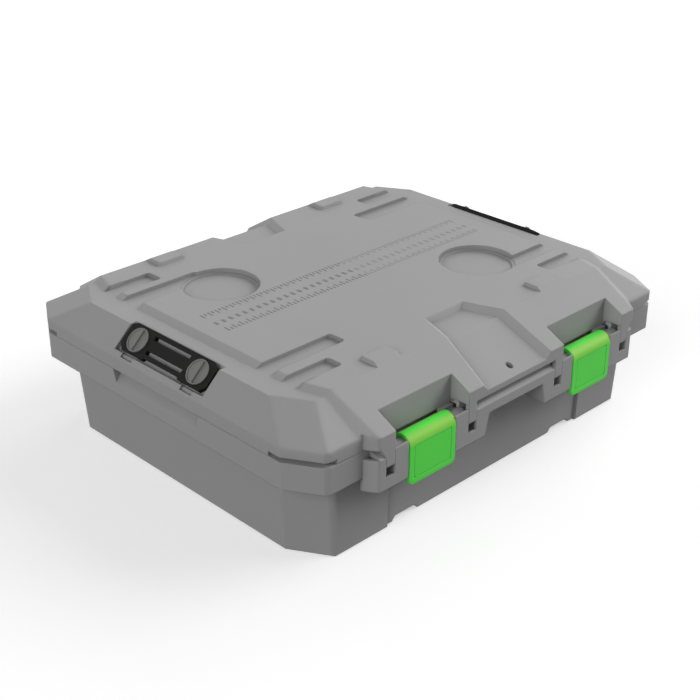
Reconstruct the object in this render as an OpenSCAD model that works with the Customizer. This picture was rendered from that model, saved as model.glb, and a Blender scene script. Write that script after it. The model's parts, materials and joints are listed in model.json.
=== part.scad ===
// Rugged low storage case with a hinged lid, two snap-over latches and side plates.
// The origin is at the bottom centre, +X runs to the right along the latch side,
// -Y is the front and +Z is up. All lengths are in millimetres.

/* [Case outline] */
// Width over the rim band
rim_w = 575; // [540:1:620]
// Depth over the rim band, without the front and back blocks
rim_d = 474; // [450:1:510]
// Corner cut, measured along the width
corner_w = 24.5; // [20:0.5:30]
// Corner cut, measured along the depth
corner_d = 41; // [34:0.5:46]
// Wall thickness of tub and lid
wall = 4; // [3.4:0.1:4.6]
// Height of the plane where lid and tub meet
parting_z = 125.5; // [118:0.5:150]

/* [Tub] */
// How far the tub's side walls stand in from the rim band, at the floor
foot_in_w = 25.5; // [22:0.5:32]
// How far the corner posts stand in from the rim band, at the floor
foot_in_d = 20; // [18:0.5:24]
// Corner cut of the tub, measured along the depth
tub_corner_d = 46; // [40:0.5:54]
// Outward lean of the side walls, from the floor to the parting plane
draft_w = 9; // [6:0.5:11]
// Outward lean of the front and back walls, from the floor to the parting plane
draft_d = 2.6; // [2:0.1:4]
// How far the corner posts stand proud of the front and back walls
post_proud = 3.2; // [2:0.1:4]
// Half the distance between the corner posts
post_x = 167; // [160:1:176]
// Width of the slope between a post and the wall
post_slope = 14; // [10:1:18]
// Height of the rim band
band_h = 30.5; // [28:0.5:34]
// Thickness of the stiffening ribs
rib_t = 3; // [2.4:0.1:3.6]
// Radius of the upright edges of the tub
tub_r = 12; // [8:0.5:14]
// Radius of the upright edges of the rim band and the lid's skirt
rim_r = 10; // [7:0.5:12]
// Chamfer round the foot of the tub
foot_c = 1.6; // [1:0.1:2.4]

/* [Stacking features] */
// Distance of the stacking pads and channels from the middle
pad_x = 130.5; // [126:0.5:134]
// Width of a stacking pad on the lid
pad_w = 33; // [30:0.5:36]
// Height of a stacking pad over the lid panel
pad_h = 4; // [3:0.1:5]
// Depth of a front pad, back from the lid's front crease
pad_front_l = 24.5; // [20:0.5:27]
// Depth of a back pad, forward from the lid's back crease
pad_back_l = 25; // [20:0.5:27]
// Slope of the pad walls, run at each side
pad_slope = 2; // [1:0.1:3]
// Height of the channels under the tub
channel_h = 7; // [5:0.1:9]
// Width of a channel at the floor
channel_w = 42; // [39:0.5:46]
// Run of the slope on each side of a channel
channel_slope = 6; // [4:0.5:7]
// Length of a channel, in from the tub's foot
channel_l = 62; // [54:1:70]

/* [Front and back blocks] */
// How far the front block stands out from the rim band
front_proud = 14; // [12:0.5:16]
// How far the back block stands out from the rim band
back_proud = 11; // [9:0.5:13]
// Width of a block's face beyond the outer slots
block_end = 9.5; // [8:0.5:12]
// Extra half width of the blocks where they meet the rim band
block_splay = 8.5; // [6:0.5:12]
// Height of the block's lower edge
block_z = 80; // [74:0.5:84]
// Radius of the blocks' upright edges
block_r = 5; // [4:0.5:6.5]
// Height of the block plates beside the latches
block_top = 121.5; // [119:0.5:123]
// Thickness of the block plates
plate_t = 3; // [2.5:0.1:3.5]
// Height of the deck behind the handle bar
deck_z = 116; // [114:0.5:118]
// Rise of that deck towards the rim band
deck_rise = 5.5; // [4:0.5:6]
// Thickness of that deck
deck_t = 5; // [4:0.5:6]

/* [Carry handle] */
// Height of the handle bar
bar_h = 10.5; // [8:0.1:12]
// Thickness of the handle bar, front to back
bar_t = 8; // [6:0.5:10]
// Half the width of the hand opening at the bar
grip_half = 44.5; // [40:0.5:48]
// Extra half width of the hand opening at the lower edge
grip_splay = 6; // [3:0.5:7]
// Diameter of the padlock hole
lock_d = 8; // [6:0.5:10]
// Distance of the padlock hole from the front face
lock_in = 12.5; // [11.5:0.5:14]

/* [Latches] */
// Distance of each latch from the middle
latch_x = 131.7; // [129:0.1:134]
// Width of a latch
latch_w = 67.5; // [64:0.5:70]
// Thickness of the latch plate
latch_t = 3.8; // [3.2:0.1:4.2]
// How far the latch face stands out from the block face
latch_proud = 0.8; // [0.4:0.1:1.5]
// Outer radius of the latch curl
curl_r = 12.1; // [11.5:0.1:12.6]
// Height of the latch pivot over the block's lower edge
pivot_up = 33; // [31:0.5:35]
// Length of the latch below the pivot
latch_drop = 43.5; // [42:0.5:46]
// Reach of the hook, in from the latch plate
hook_in = 3.2; // [2.4:0.1:3.6]
// Radius from the pivot at which the hook catches the tub
catch_r = 37.2; // [36.5:0.1:38]
// Diameter of the latch pins
latch_pin_d = 4; // [3:0.1:5]
// Outer diameter of the knuckles that hold the latch pins
knuckle_d = 15.2; // [14.4:0.1:15.6]
// How far a knuckle reaches into the latch's curl
knuckle_in = 5; // [4:0.5:7]
// Depth of the sunk panel in the latch face
panel_sunk = 0.8; // [0.4:0.1:1.2]
// Width of the frame round the sunk panel
panel_frame = 6.5; // [5:0.5:9]
// Diameter of the access hole beside a latch
access_d = 3; // [2:0.1:3.4]
// Corner radius of a latch
latch_corner = 6; // [4:0.5:8]

/* [Tongues and slots] */
// Width of the slots in the front block
slot_w = 12.6; // [11:0.1:13.4]
// Distance from a latch's middle to the slots beside it
slot_x = 60.5; // [59.5:0.1:61.5]
// Height of a slot's bottom over the block's lower edge
slot_up = 13.5; // [11:0.5:16]
// Side clearance of the lid's tongues in the slots
tongue_gap = 0.4; // [0.3:0.1:0.8]
// Height of a tongue's tip over the block's lower edge
tongue_up = 24.7; // [22:0.1:28]
// Thickness of a tongue, front to back
tongue_t = 5; // [4:0.5:6]
// Width of the cheek beside an outer tongue
cheek_w = 7.4; // [6:0.1:8.5]
// How far a cheek reaches down below the deck's edge
cheek_low = 1.5; // [0.5:0.1:2.5]

/* [Lid] */
// Height of the lid's upright skirt
skirt_h = 15.9; // [14:0.1:18]
// Rise of the sloping sides, from the skirt to the border
roof_h = 27.1; // [24:0.1:30]
// Run of the sloping sides along the width
roof_run_w = 29; // [26:0.5:32]
// Run of the sloping corners along the depth
roof_run_d = 47; // [44:0.5:50]
// Height of the raised panel over the border
panel_h = 4.7; // [4:0.1:5.4]
// How far the raised panel stands in from the border's edge
panel_in = 35.5; // [32:0.5:40]
// Run of the ramps at the ends of the raised panel
panel_ramp = 9; // [7:0.5:11]
// Distance from the front face to the crease where the front slope starts
front_run = 61.5; // [59:0.5:64]
// Distance from the back face to the crease where the back slope starts
back_run = 54; // [52:0.5:57]
// How far the bonnets narrow from the panel to the crease
bonnet_narrow = 9; // [6:0.5:11]
// Outward run of the bonnet walls for each unit of drop
bonnet_flare_share = 1.6; // [1.4:0.05:1.8]
// Height of the lid's front edge over the parting plane, in the handle zone
lip_up = 1.5; // [0.8:0.1:2.5]
// Height of the corner gaps between skirt and band
corner_gap = 5.5; // [4:0.5:7]
// Thickness of the flange that carries the seal
flange_t = 8; // [7:0.5:9]

/* [Lid grooves and discs] */
// Distance of the inner grooves from the middle, across the depth
groove_y = 99.5; // [96:0.5:102]
// Width of the inner front grooves
groove_front_in = 23; // [20:0.5:25]
// Width of the front fingers between the grooves
finger_front = 15; // [12:0.5:17]
// Width of the outer front grooves
groove_front_out = 21.5; // [19:0.5:23]
// Width of the inner back grooves
groove_back_in = 28; // [25:0.5:30]
// Width of the back fingers between the grooves
finger_back = 11.5; // [9:0.5:13]
// Width of the outer back grooves
groove_back_out = 23.5; // [20:0.5:25]
// Corner radius of the grooves' closed ends
groove_r = 4.5; // [3:0.5:5.5]
// Distance of the inner grooves' closed ends from the middle
groove_in_x = 128.5; // [124:0.5:136]
// Distance of the outer grooves' closed ends from the middle
groove_out_x = 168; // [163:0.5:176]
// Radius of the two round recesses
disc_r = 45.5; // [42:0.5:47]
// Depth of the round recesses to their ledge
disc_h = 5.2; // [4:0.1:6]
// Width of the ledge in the round recesses
disc_ledge = 3.5; // [2:0.5:5]
// Extra depth inside the ledge
disc_step = 1.6; // [1:0.1:2]
// Distance of the round recesses from the middle, across the depth
disc_y = 79; // [75:0.5:81]

/* [Lid channels] */
// Half width of a channel at its inner end
chan_in_half = 31; // [28:0.5:34]
// Half width of a channel at the crease
chan_mid_half = 47.5; // [44:0.5:50]
// Half width of a channel at the lid's edge
chan_out_half = 55.5; // [52:0.5:57]
// Run of a channel's side walls
chan_side = 7.5; // [5:0.5:9]
// Distance of a channel's inner end from its crease
chan_l = 45; // [40:0.5:48]
// Depth of a channel
chan_h = 6.6; // [5:0.1:7.2]

/* [Side plates] */
// Half the length of a side plate
splate_half = 72; // [70:0.5:73]
// Lower edge of a side plate, up the slope from the skirt
splate_low = 10.5; // [9.5:0.5:11.5]
// Upper edge of a side plate, up the slope from the skirt
splate_high = 44.5; // [43:0.5:45.5]
// Thickness of a side plate
splate_t = 5.7; // [5:0.1:6.2]
// Clear gap round a side plate in its recess
splate_gap = 2.5; // [1.5:0.5:3]
// Half length of the waist between the plate's two heads
waist_half = 28; // [25:0.5:31]
// How far the waist is cut back
waist_cut = 2.8; // [2:0.1:4]
// Half length of the two long windows
window_half = 30; // [26:0.5:32]
// Height of the two long windows
window_h = 4.6; // [4:0.1:5.2]
// Distance of a window from the plate's edge
window_in = 4.7; // [4:0.1:6]
// Distance of each stud from the middle of its plate
stud_y = 50.5; // [49:0.5:51.5]
// Length of the finger notches beside the plate's heads
notch_l = 19; // [16:0.5:22]
// Width of the finger notches
notch_w = 5; // [4:0.5:5.5]
// Radius of a stud's head
stud_r = 14.2; // [13:0.1:14.8]
// Thickness of a stud's head
stud_h = 2.5; // [2:0.1:3.2]
// Radius of a stud's neck
neck_r = 6; // [5:0.5:7]
// Radius of a stud's stem
stem_r = 4; // [3.5:0.1:4.5]
// Half the length of a stud's cross bar
wing_half = 8; // [7:0.5:9]
// Height of a stud's grip ridge
ridge_h = 2.2; // [1.5:0.1:3]
// Width of a stud's grip ridge
ridge_w = 4.5; // [3.5:0.5:5.5]

/* [Hinges] */
// Distance of each hinge from the middle
hinge_x = 131.7; // [126:0.1:136]
// How far the hinge axis stands out from the back face
axis_out = 4.5; // [4:0.1:5.5]
// Outer diameter of the hinge knuckles
hinge_d = 14; // [13:0.5:15]
// Diameter of the hinge pins
hinge_pin_d = 5; // [4:0.1:6]
// Length of a middle knuckle, on the lid
hinge_mid_l = 50; // [44:1:56]
// Length of an end knuckle, on the tub
hinge_end_l = 20; // [16:1:24]
// Gap between two knuckles
hinge_gap = 0.6; // [0.4:0.1:1]

/* [Seal] */
// Width of the lid seal
seal_w = 4; // [3.4:0.1:4.4]
// Height of the lid seal
seal_h = 4; // [3:0.1:5]
// How far the seal's centre line stands in from the rim
seal_in = 19; // [18.5:0.5:19.5]

/* [Hand grips] */
// Half length of a side hand grip at its top
side_grip_half = 73; // [68:1:78]
// How much shorter the grip is at its floor, at each end
side_grip_splay = 5; // [3:0.5:7]
// Depth of a side hand grip into the band
side_grip_in = 8; // [6:0.5:9]
// Height of a side hand grip
side_grip_h = 16.5; // [14:0.5:19]

/* [Hidden] */
$fn = 64;

// Overrun of every cut, and the small clearances
over = wall / 4;
running_gap = 0.05;
plain_gap = 0.3;

// Heights
band_z = parting_z - band_h;
skirt_z = parting_z + skirt_h;
border_z = skirt_z + roof_h;
panel_z = border_z + panel_h;
pivot_z = block_z + pivot_up;
slot_z = block_z + slot_up;
tongue_z = block_z + tongue_up;
bar_z = deck_z - bar_h;
lip_z = parting_z + lip_up;

// Places along the depth
front_y = -(rim_d / 2 + front_proud);
back_y = rim_d / 2 + back_proud;
latch_face_y = front_y - latch_proud;
pivot_y = latch_face_y + curl_r;
front_crease_y = front_y + front_run;
back_crease_y = back_y - back_run;
lock_y = front_y + lock_in;
axis_y = back_y + axis_out;
axis_z = parting_z;

// Places along the width
top_half = rim_w / 2 - roof_run_w;
panel_half = top_half - panel_in;
recess_half = slot_x - slot_w / 2 - tongue_gap;
block_half = latch_x + slot_x + slot_w / 2 + block_end;

// Latch sizes
knuckle_r = knuckle_d / 2;
keeper_y = latch_face_y + latch_t + plain_gap;
recess_wall_y = pivot_y + curl_r + latch_t / 2;
recess_low_z = pivot_z + knuckle_r;
latch_pin_half = recess_half - over;

// Corner angle, and the half sizes of a plan: along x, along y and across a corner
corner_a = atan2(corner_w, corner_d);
function plan_size(half_w, half_d, cut_d) =
    [half_w, half_d, half_w * cos(corner_a) + (half_d - cut_d) * sin(corner_a)];
function inset(size, t) = [size[0] - t, size[1] - t, size[2] - t];
rim = plan_size(rim_w / 2, rim_d / 2, corner_d);
lid_top = plan_size(top_half, rim_d / 2 - roof_run_d, corner_d);
post_foot = plan_size(rim_w / 2 - foot_in_w, rim_d / 2 - foot_in_d, tub_corner_d);
wall_foot = [post_foot[0], post_foot[1] - post_proud, post_foot[2]];
lean = [draft_w, draft_d, draft_w];

// Side slope of the lid
slope_a = atan2(roof_h, roof_run_w);
stud_s = (splate_low + splate_high) / 2;
ridge_a = 45;

// Direction in which the ends of the case look
side_a = 90;

// Shares of small forms, chosen by hand
bite_share = 0.99;
slope_share = 0.4;
corner_share = 0.22;
dish_share = 0.4;
ridge_share = 0.85;

// Extrudes a shape drawn in x and z along y, centred
module along_y(l) {
    rotate([90, 0, 0])
        linear_extrude(l, center = true)
            children();
}

// Extrudes a shape drawn in y and z along x, centred
module along_x(l) {
    rotate([90, 0, 90])
        linear_extrude(l, center = true)
            children();
}

// A trapezoid with its two parallel sides level
module trapezoid(half0, half1, z0, z1) {
    polygon([[-half0, z0], [half0, z0], [half1, z1], [-half1, z1]]);
}

// A block with cut corners that tapers from one plan size to another
module tapered(size0, size1, z0, z1) {
    reach = 2 * (size0[0] + size0[1] + size1[0]);
    intersection() {
        along_y(reach) trapezoid(size0[0], size1[0], z0, z1);
        along_x(reach) trapezoid(size0[1], size1[1], z0, z1);
        rotate(corner_a) along_y(reach) trapezoid(size0[2], size1[2], z0, z1);
        rotate(-corner_a) along_y(reach) trapezoid(size0[2], size1[2], z0, z1);
    }
}

// A tapered block whose slopes from z0 to z1 are carried on down to a lower place
module sloped(size0, size1, z0, z1, low_z) {
    tapered(size0 + (size1 - size0) * (low_z - z0) / (z1 - z0), size1, low_z, z1);
}

// Corners of such a block in plan: the one on its side and the one on its end
function side_corner(size) = [size[0], (size[2] - size[0] * cos(corner_a)) / sin(corner_a)];
function end_corner(size) = [(size[2] - size[1] * sin(corner_a)) / cos(corner_a), size[1]];

// Plan of a block with cut corners
module plan(size) {
    a = side_corner(size);
    b = end_corner(size);
    polygon([[a[0], -a[1]], a, b, [-b[0], b[1]], [-a[0], a[1]], -a, -b, [b[0], -b[1]]]);
}

// What a radius takes off a corner between faces that look along a0 and a1
module corner_bite(a0, a1, r) {
    mid = (a0 + a1) / 2;
    reach = r * bite_share / cos((a1 - a0) / 2);
    difference() {
        polygon([[-reach * cos(mid), -reach * sin(mid)],
                 [2 * r * cos(a0) - reach * cos(mid), 2 * r * sin(a0) - reach * sin(mid)],
                 [2 * r * cos(mid), 2 * r * sin(mid)],
                 [2 * r * cos(a1) - reach * cos(mid), 2 * r * sin(a1) - reach * sin(mid)]]);
        translate([-reach * cos(mid), -reach * sin(mid)]) circle(r = r);
    }
}

// Plan with its eight corners rounded
module round_plan(size, r) {
    difference() {
        plan(size);
        both_sides() both_ends() {
            translate(side_corner(size)) corner_bite(0, corner_a, r);
            translate(end_corner(size)) corner_bite(corner_a, side_a, r);
        }
    }
}

// Takes a radius off an edge that leans from one point to another
module lean_bite(low, high, a0, a1, r) {
    way = high - low;
    translate(low)
        rotate(a = acos(way[2] / norm(way)), v = [-way[1], way[0], 0])
            translate([0, 0, -over])
                linear_extrude(norm(way) + 2 * over)
                    corner_bite(a0, a1, r);
}

// A tapered block with its upright edges rounded
module round_tapered(size0, size1, z0, z1, r) {
    difference() {
        tapered(size0, size1, z0, z1);
        both_sides() both_ends() {
            lean_bite(concat(side_corner(size0), z0), concat(side_corner(size1), z1), 0, corner_a, r);
            lean_bite(concat(end_corner(size0), z0), concat(end_corner(size1), z1), corner_a, side_a, r);
        }
    }
}

// A block of one plan size with upright sides and rounded edges
module upright(size, z0, z1, r) {
    translate([0, 0, z0])
        linear_extrude(z1 - z0)
            round_plan(size, r);
}

// A ring with upright sides between two plan sizes
module ring(outer, inner, z0, z1) {
    translate([0, 0, z0])
        linear_extrude(z1 - z0)
            difference() {
                plan(outer);
                plan(inner);
            }
}

// A box given by its corner and its far corner
module span(a, b) {
    translate(a) cube(b - a);
}

// Both sides of the case
module both_sides() {
    children();
    mirror([1, 0, 0]) children();
}

// Front and back of the case
module both_ends() {
    children();
    mirror([0, 1, 0]) children();
}

// A rod along x, centred on x
module rod_x(x, y, z, r, l) {
    translate([x, y, z])
        rotate([0, 90, 0])
            cylinder(r = r, h = l, center = true);
}

// Plan of a block, from its face to behind the rim band
module block_plan(face, inset_by) {
    root = rim_d / 2 - wall;
    difference() {
        polygon([[-(block_half - inset_by), face - inset_by], [block_half - inset_by, face - inset_by],
                 [block_half + block_splay - inset_by, rim_d / 2 - inset_by],
                 [block_half + block_splay - inset_by, root - inset_by],
                 [-(block_half + block_splay - inset_by), root - inset_by],
                 [-(block_half + block_splay - inset_by), rim_d / 2 - inset_by]]);
        both_sides()
            translate([block_half - inset_by, face - inset_by])
                corner_bite(atan2(block_splay, face - rim_d / 2), side_a, block_r - inset_by);
    }
}

// Tub: outside, inside and floor channels
module tub_form(foot, t, z0) {
    foot_in = inset(foot, t);
    intersection() {
        round_tapered(foot_in, foot_in + lean, z0, parting_z, tub_r - t);
        tapered(inset(foot_in, foot_c), inset(foot_in, foot_c - parting_z), z0, parting_z);
    }
}

module tub_outside() {
    tub_form(wall_foot, 0, 0);
    difference() {
        tub_form(post_foot, 0, 0);
        linear_extrude(parting_z)
            polygon([[-post_x - post_slope / 2, -rim_d], [post_x + post_slope / 2, -rim_d],
                     [post_x - post_slope / 2, -wall_foot[1]], [post_x - post_slope / 2, wall_foot[1]],
                     [post_x + post_slope / 2, rim_d], [-post_x - post_slope / 2, rim_d],
                     [-post_x + post_slope / 2, wall_foot[1]], [-post_x + post_slope / 2, -wall_foot[1]]]);
    }
}

// One stacking channel, grown by t on every side
module channel(t) {
    half = channel_w / 2 + t;
    run = channel_l + t;
    translate([pad_x, -post_foot[1] - over + run / 2, 0])
        along_y(run + over)
            polygon([[-half, -over], [half, -over], [half, 0],
                     [half - channel_slope, channel_h + t], [-half + channel_slope, channel_h + t],
                     [-half, 0]]);
}

module tub_inside() {
    difference() {
        union() {
            round_tapered(inset(wall_foot, wall), inset(wall_foot, wall) + lean, wall,
                          parting_z + over / 4, tub_r - wall);
            tapered(inset(wall_foot, wall) + lean, inset(wall_foot, wall) + lean,
                    parting_z - over / 4, parting_z + over);
        }
        both_ends() both_sides() channel(wall);
    }
}

// Rim band: a channel that is open below, with the deck on top
module rim_band() {
    difference() {
        upright(rim, band_z, parting_z, rim_r);
        upright(inset(rim, wall), band_z - over, parting_z - wall, rim_r - wall);
    }
}

// Ribs between the tub's walls and the rim band
module band_ribs() {
    pitch = rim_d / 7;
    side_half = wall_foot[0] + draft_w / 2;
    for (i = [-2 : 2])
        both_sides()
            span([side_half, i * pitch - rib_t / 2, band_z + wall / 2],
                 [rim_w / 2 - over, i * pitch + rib_t / 2, parting_z - over]);
}

// Side hand grip: its walls, and the pocket itself with a floor that falls outwards
module side_grip(t, out) {
    half = side_grip_half + t;
    floor_z = parting_z - side_grip_h - t;
    inner_x = rim_w / 2 - side_grip_in - t;
    outer_x = rim_w / 2 + out;
    intersection() {
        translate([(inner_x + outer_x) / 2, 0, 0])
            along_x(outer_x - inner_x)
                trapezoid(half - side_grip_splay, half, floor_z, parting_z + out);
        along_y(2 * half)
            polygon([[inner_x, floor_z + side_grip_in], [outer_x, floor_z],
                     [outer_x, parting_z + out], [inner_x, parting_z + out]]);
    }
}

// Deck behind a block's plate: it rises from the handle bar to the rim band
module deck(x0, x1, bar) {
    web_y = -(wall_foot[1] + draft_d / 2);
    translate([(x0 + x1) / 2, 0, 0])
        along_x(x1 - x0)
            polygon([[front_y, bar], [front_y, deck_z], [front_y + bar_t / 2, deck_z + deck_rise / 2],
                     [-rim_d / 2, deck_z + deck_rise], [web_y, deck_z + deck_rise],
                     [web_y, deck_z + deck_rise - deck_t], [-rim_d / 2, deck_z + deck_rise - deck_t],
                     [front_y + bar_t, bar]]);
}

// Upright web from a block's plate to the tub
module web(x) {
    web_y = -(wall_foot[1] + draft_d / 2);
    span([x - rib_t / 2, front_y + over, block_z], [x + rib_t / 2, web_y, deck_z - over]);
}

// Hand opening under the handle bar, grown by t, open below
module hand_opening(t, l, z0) {
    translate([0, front_y, 0])
        along_y(l)
            trapezoid(grip_half + grip_splay + t, grip_half + t, z0, bar_z);
}

// Front block of the tub
module front_block() {
    web_y = -(wall_foot[1] + draft_d / 2);
    difference() {
        mirror([0, 1, 0])
            translate([0, 0, block_z])
                linear_extrude(block_top - block_z)
                    difference() {
                        block_plan(-front_y, 0);
                        block_plan(-front_y, plate_t);
                    }
        // The plate stands lower outside the outer slots and between the inner ones
        span([slot_x - latch_x, front_y - over, deck_z], [latch_x - slot_x, over - rim_d / 2, parting_z]);
        both_sides()
            span([latch_x + slot_x, front_y - over, deck_z], [rim_w / 2, over - rim_d / 2, parting_z]);
    }
    deck(slot_x - latch_x, latch_x - slot_x, bar_z);
    intersection() {
        hand_opening(wall, -2 * front_y, block_z);
        span([-rim_w, front_y, block_z], [rim_w, web_y, deck_z]);
    }
    both_sides() {
        deck(latch_x + slot_x, block_half - over, deck_z - deck_t);
        web(latch_x - recess_half + rib_t);
        web(latch_x + recess_half - rib_t);
        web(latch_x + slot_x + slot_w / 2 + rib_t);
    }
}

// What the front block leaves free: latch bays, slots, hand opening and padlock hole
module front_cuts() {
    both_sides() {
        span([latch_x - recess_half - over, front_y + plate_t, pivot_z - knuckle_r - over],
             [latch_x + recess_half + over, recess_wall_y + wall + over, parting_z + over]);
        span([latch_x - latch_w / 2 - over, front_y - over, 0],
             [latch_x + latch_w / 2 + over, keeper_y, parting_z]);
        rod_x(latch_x, pivot_y, pivot_z, curl_r + 2 * plain_gap, latch_w + 2 * over);
        for (side = [-1, 1])
            translate([latch_x + side * slot_x - slot_w / 2, front_y - over, slot_z])
                cube([slot_w, front_proud + over, parting_z]);
        translate([latch_x + slot_x, front_y + (tongue_t + plain_gap - over) / 2, 0])
            along_y(tongue_t + plain_gap + over)
                cheek(plain_gap);
    }
    for (side = [-1, 1])
        rod_x(side * latch_x + recess_half + wall, recess_wall_y - wall / 2, parting_z - wall / 2,
              access_d / 2, 2 * wall);
    difference() {
        hand_opening(0, -2 * front_y, block_z - over);
        tub_form(wall_foot, -over / 2, 0);
    }
    translate([0, lock_y, bar_z - over])
        cylinder(d = lock_d, h = parting_z - bar_z + 2 * over);
}

// Keeper under which a latch hooks, its lower face on an arc round the pivot
module keeper() {
    half = latch_w / 2 + over;
    top_z = pivot_z - curl_r - 2 * over;
    intersection() {
        span([latch_x - half, keeper_y, block_z - catch_r], [latch_x + half, keeper_y + plate_t, top_z]);
        rod_x(latch_x, pivot_y, pivot_z, catch_r, latch_w + wall);
    }
    for (x = [latch_x - half, latch_x - rib_t / 2, latch_x + half - rib_t])
        span([x, keeper_y + over, block_z], [x + rib_t, -(wall_foot[1] + draft_d / 2), top_z]);
}

// Back block of the tub
module back_block() {
    web_y = wall_foot[1] + draft_d / 2;
    translate([0, 0, block_z])
        linear_extrude(block_top - block_z)
            difference() {
                block_plan(back_y, 0);
                block_plan(back_y, plate_t);
            }
    translate([0, 0, block_top - wall])
        linear_extrude(wall)
            block_plan(back_y, 0);
    for (i = [-3 : 3])
        span([i * block_half / 4 - rib_t / 2, web_y, block_z],
             [i * block_half / 4 + rib_t / 2, back_y - over, block_top - over]);
}

// The tub's end knuckles with their gussets
module end_knuckles() {
    for (side = [-1, 1])
        translate([hinge_x + side * (hinge_mid_l + hinge_end_l + 2 * hinge_gap) / 2, 0, 0]) {
            rod_x(0, axis_y, axis_z, hinge_d / 2, hinge_end_l);
            along_x(hinge_end_l)
                polygon([[back_y - over, axis_z - 2 * hinge_d], [back_y, axis_z - 2 * hinge_d],
                         [axis_y + hinge_d / 2, axis_z], [axis_y - hinge_d / 2, axis_z],
                         [back_y - plate_t, block_top - over]]);
        }
}

module base_tub() {
    color("#858585")
        difference() {
            union() {
                tub_outside();
                rim_band();
                band_ribs();
                both_sides() side_grip(wall, 0);
                difference() {
                    union() {
                        front_block();
                        back_block();
                    }
                    tub_form(wall_foot, wall, 0);
                    both_sides()
                        rod_x(hinge_x, axis_y, axis_z, hinge_d / 2 + over, hinge_mid_l + 2 * hinge_gap);
                }
                both_sides() end_knuckles();
            }
            tub_inside();
            front_cuts();
            both_sides() both_ends() channel(0);
            both_sides() side_grip(0, over);
            both_sides()
                rod_x(hinge_x, axis_y, axis_z, hinge_pin_d / 2, hinge_mid_l + 2 * hinge_end_l + 4 * hinge_gap);
        }
    color("#858585") both_sides() keeper();
}

// A bonnet from the panel to the lid's edge: flat top, then the long slope
module bonnet(face, crease, inner) {
    half = [panel_half, panel_half - bonnet_narrow, block_half];
    place = [inner, crease, face];
    top = [panel_z, panel_z, skirt_z];
    pts = [for (i = [0 : 2]) [half[i], place[i], top[i]],
           for (i = [0 : 2]) [half[i] + bonnet_flare_share * (top[i] - lip_z), place[i], lip_z]];
    left = [for (p = pts) [-p[0], p[1], p[2]]];
    intersection() {
        polyhedron(concat(pts, left),
                   [[0, 1, 4, 3], [1, 2, 5, 4], [6, 9, 10, 7], [7, 10, 11, 8],
                    [0, 6, 7, 1], [1, 7, 8, 2], [2, 8, 11, 5],
                    [3, 4, 10, 9], [4, 5, 11, 10], [0, 3, 9, 6]]);
        translate([0, 0, parting_z])
            linear_extrude(panel_z)
                union() {
                    translate([-rim_w / 2, 0]) square([rim_w, rim_d / 2 - over]);
                    block_plan(face, 0);
                }
    }
}

// A groove in the raised panel that runs out over the border
module groove(x, y, w) {
    translate([0, 0, border_z])
        linear_extrude(panel_h + over)
            difference() {
                translate([x, y]) square([rim_w - x, w]);
                translate([x, y]) corner_bite(2 * side_a, 3 * side_a, groove_r);
                translate([x, y + w]) corner_bite(side_a, 2 * side_a, groove_r);
            }
}

// A stacking pad whose outer face carries the slope of the bonnet on upwards
module pad(face, crease, l) {
    rise = pad_h * (face - crease) / (panel_z - skirt_z);
    intersection() {
        translate([pad_x, crease - l / 2, 0])
            along_y(2 * l)
                trapezoid(pad_w / 2 + pad_slope, pad_w / 2, panel_z - over, panel_z + pad_h);
        along_x(rim_w)
            polygon([[crease - l - pad_slope, panel_z - over], [crease, panel_z - over],
                     [crease, panel_z], [crease - rise, panel_z + pad_h],
                     [crease - l, panel_z + pad_h]]);
    }
}

// One side of a channel: level floor and sloping wall, flaring outwards by an angle
module channel_side(half, flare) {
    translate([half, 0, 0])
        rotate(-flare)
            along_y(4 * front_run)
                polygon([[-4 * half, -chan_h], [-chan_side, -chan_h], [chan_side, chan_h], [-4 * half, chan_h]]);
}

module channel_wedge(half, flare) {
    intersection() {
        channel_side(half, flare);
        mirror([1, 0, 0]) channel_side(half, flare);
    }
}

// Cut of a channel that starts with a ramp in the panel and runs out over the lid's edge
module lid_channel(face, crease) {
    fall = atan2(panel_z - skirt_z, face - crease);
    flare_in = atan2(chan_mid_half - chan_in_half, chan_l);
    flare_out = atan2((chan_out_half - chan_mid_half) * cos(fall), face - crease);
    translate([0, crease, panel_z]) {
        intersection() {
            channel_wedge(chan_mid_half, flare_in);
            along_x(4 * chan_out_half)
                polygon([[-chan_l - chan_side / 2, chan_h], [-chan_l + chan_side, -2 * chan_h],
                         [chan_h / 4, -2 * chan_h], [chan_h / 4, chan_h]]);
        }
        rotate([-fall, 0, 0])
            intersection() {
                channel_wedge(chan_mid_half, flare_out);
                span([-2 * chan_out_half, -chan_h, -2 * chan_h], [2 * chan_out_half, 2 * front_run, 2 * chan_h]);
            }
    }
}

// Lid outside: skirt, sloping sides, raised panel with its grooves, bonnets and pads
module lid_outside() {
    front_l = [groove_front_in, finger_front, groove_front_out];
    back_l = [groove_back_in, finger_back, groove_back_out];
    front_end = groove_y + front_l[0] + front_l[1] + front_l[2];
    back_end = groove_y + back_l[0] + back_l[1] + back_l[2];
    sunk = over / panel_h;
    intersection() {
        upright(rim, parting_z + plain_gap, border_z, rim_r);
        sloped(rim, lid_top, skirt_z, border_z, parting_z);
    }
    difference() {
        intersection() {
            along_y(rim_d)
                trapezoid(panel_half + panel_ramp * (1 + sunk), panel_half, border_z - over, panel_z);
            span([-rim_w, -front_end, border_z - over], [rim_w, back_end, panel_z]);
        }
        both_sides() {
            groove(groove_in_x, groove_y, back_l[0]);
            groove(groove_out_x, groove_y + back_l[0] + back_l[1], back_l[2]);
            groove(groove_in_x, -groove_y - front_l[0], front_l[0]);
            groove(groove_out_x, -front_end, front_l[2]);
        }
    }
    bonnet(back_y, back_crease_y, back_end);
    mirror([0, 1, 0]) bonnet(-front_y, -front_crease_y, front_end);
    both_sides() {
        pad(back_y, back_crease_y, pad_back_l);
        mirror([0, 1, 0]) pad(-front_y, -front_crease_y, pad_front_l);
    }
}

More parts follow.
